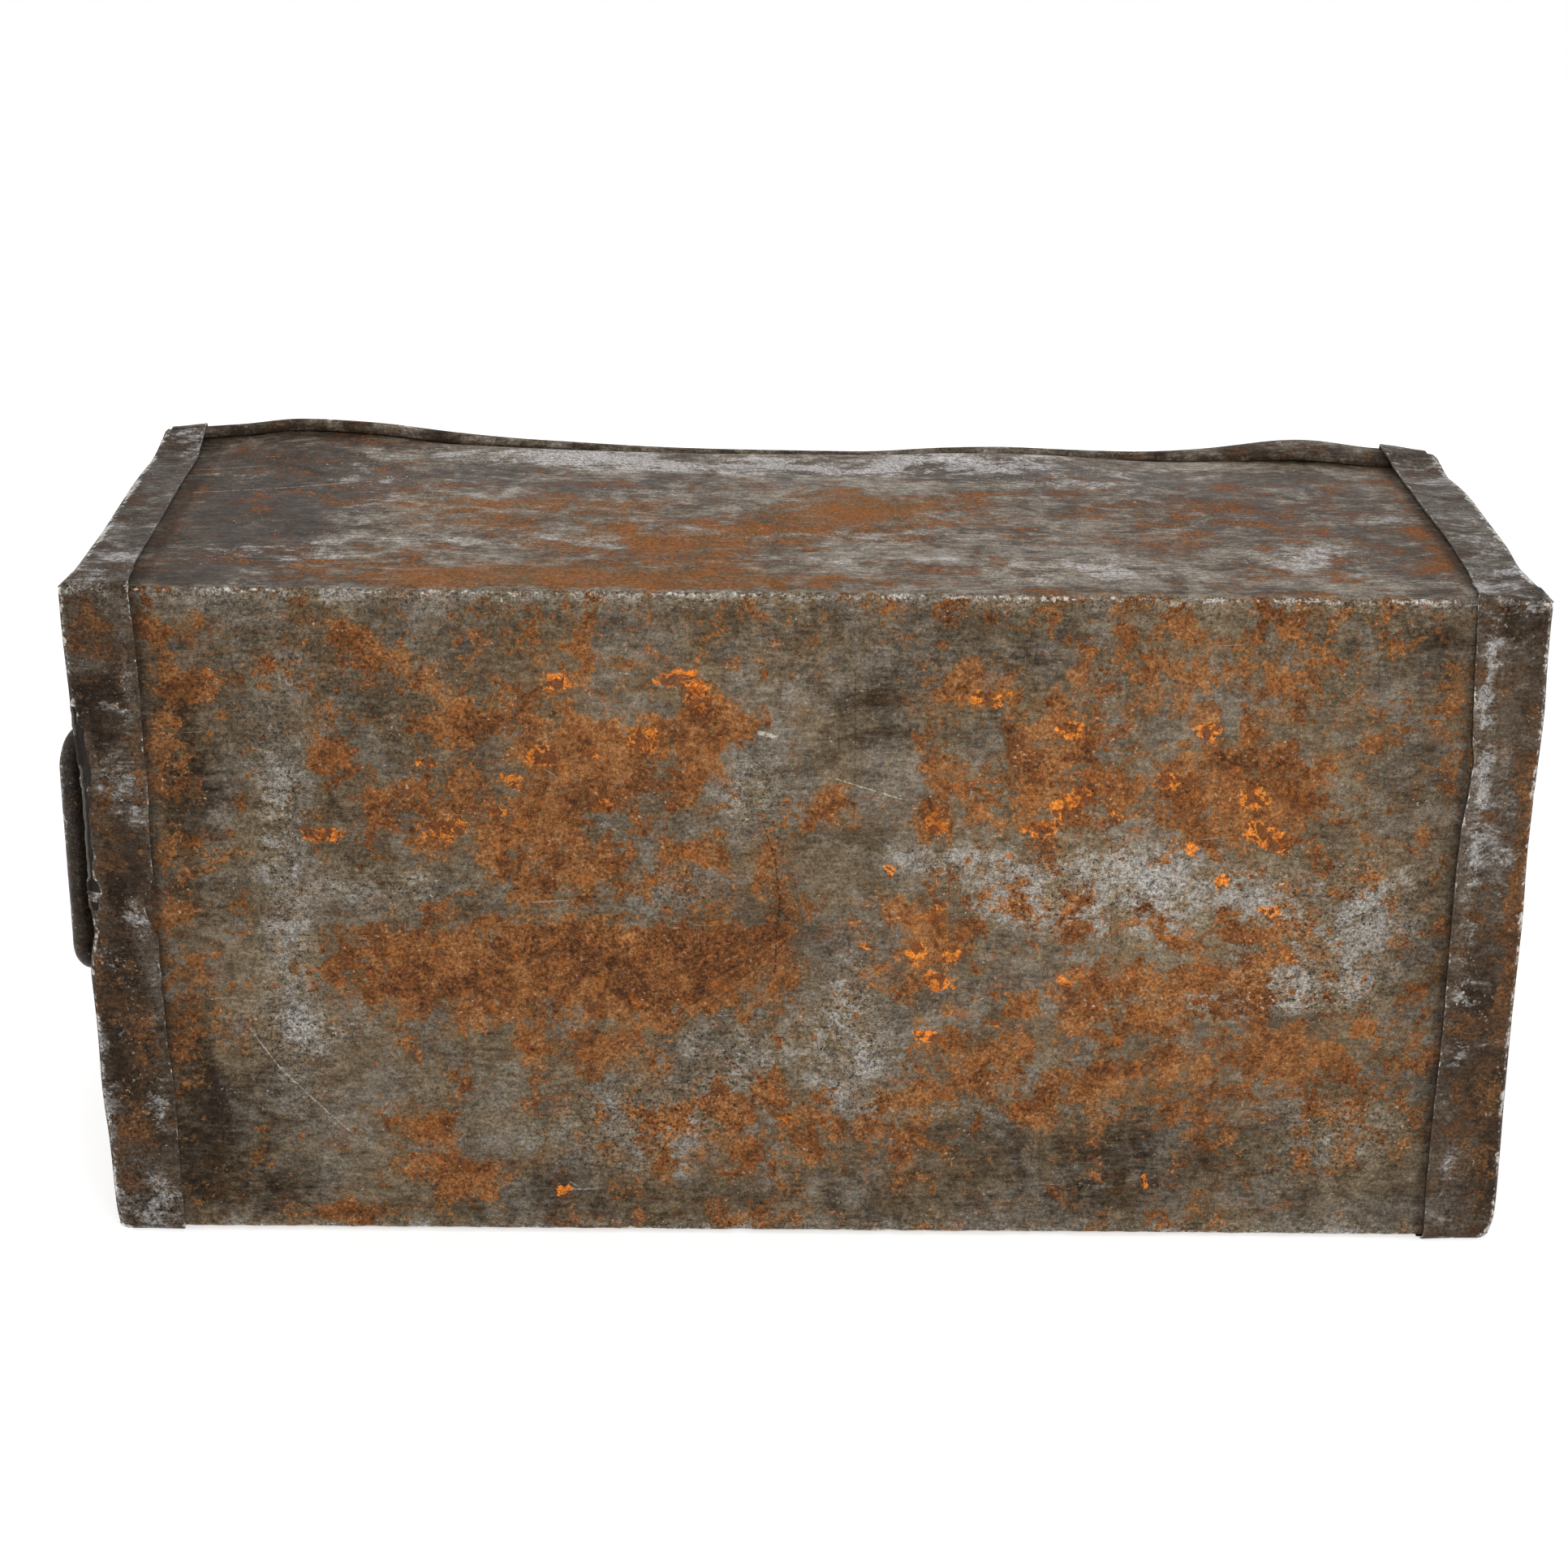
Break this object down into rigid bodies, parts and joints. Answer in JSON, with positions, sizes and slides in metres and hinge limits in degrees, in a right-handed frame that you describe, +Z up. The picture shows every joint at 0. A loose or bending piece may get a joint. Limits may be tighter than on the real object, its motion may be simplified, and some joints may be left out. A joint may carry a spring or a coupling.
{
  "type": "storage box",
  "caption": "Open-topped folded sheet steel storage box with wrapped end caps, rolled wired rims and a swinging bail handle on each end.",
  "frame": {"origin": "middle of the floor inside the box, on its upper face; the end caps' flanges, 2.3 mm lower, carry the box", "axes": "+Z up to the open mouth, +X along the length to the right end seen from the front, the front wall faces -Y"},
  "size_m": [0.7406, 0.3564, 0.2696],
  "materials": {
    "body_steel": "grey sheet steel under heavy patchy orange and brown rust, worn bright on its folds",
    "cap_steel": "dark grey-brown sheet steel with rust stains and bright worn edges",
    "wire_steel": "dark rusted wire",
    "plate_steel": "dull rusted plate",
    "strap_steel": "dark steel, rubbed on its crown",
    "rivet_steel": "dark steel with rubbed heads",
    "bail_steel": "dark pitted rod, polished by hands"
  },
  "bodies": {
    "box": {"body_sheet": "body_steel", "front_rim_wire": "wire_steel", "back_rim_wire": "wire_steel", "left_end_cap": "cap_steel", "right_end_cap": "cap_steel", "left_backing_plate": "plate_steel", "right_backing_plate": "plate_steel", "left_front_strap": "strap_steel", "left_back_strap": "strap_steel", "right_front_strap": "strap_steel", "right_back_strap": "strap_steel", "left_front_lower_rivet": "rivet_steel", "left_front_upper_rivet": "rivet_steel", "left_back_lower_rivet": "rivet_steel", "left_back_upper_rivet": "rivet_steel", "right_front_lower_rivet": "rivet_steel", "right_front_upper_rivet": "rivet_steel", "right_back_lower_rivet": "rivet_steel", "right_back_upper_rivet": "rivet_steel"},
    "left_handle": {"left_bail": "bail_steel"},
    "right_handle": {"right_bail": "bail_steel"}
  },
  "joints": [
    {"name": "left_bail_swing", "type": "hinge", "parent": "box", "child": "left_handle", "pos_m": [-0.3565, 0, 0.1312], "axis": [0, 1, 0], "range_deg": [-14, 166]},
    {"name": "right_bail_swing", "type": "hinge", "parent": "box", "child": "right_handle", "pos_m": [0.3565, 0, 0.1312], "axis": [0, -1, 0], "range_deg": [0, 180]}
  ]
}
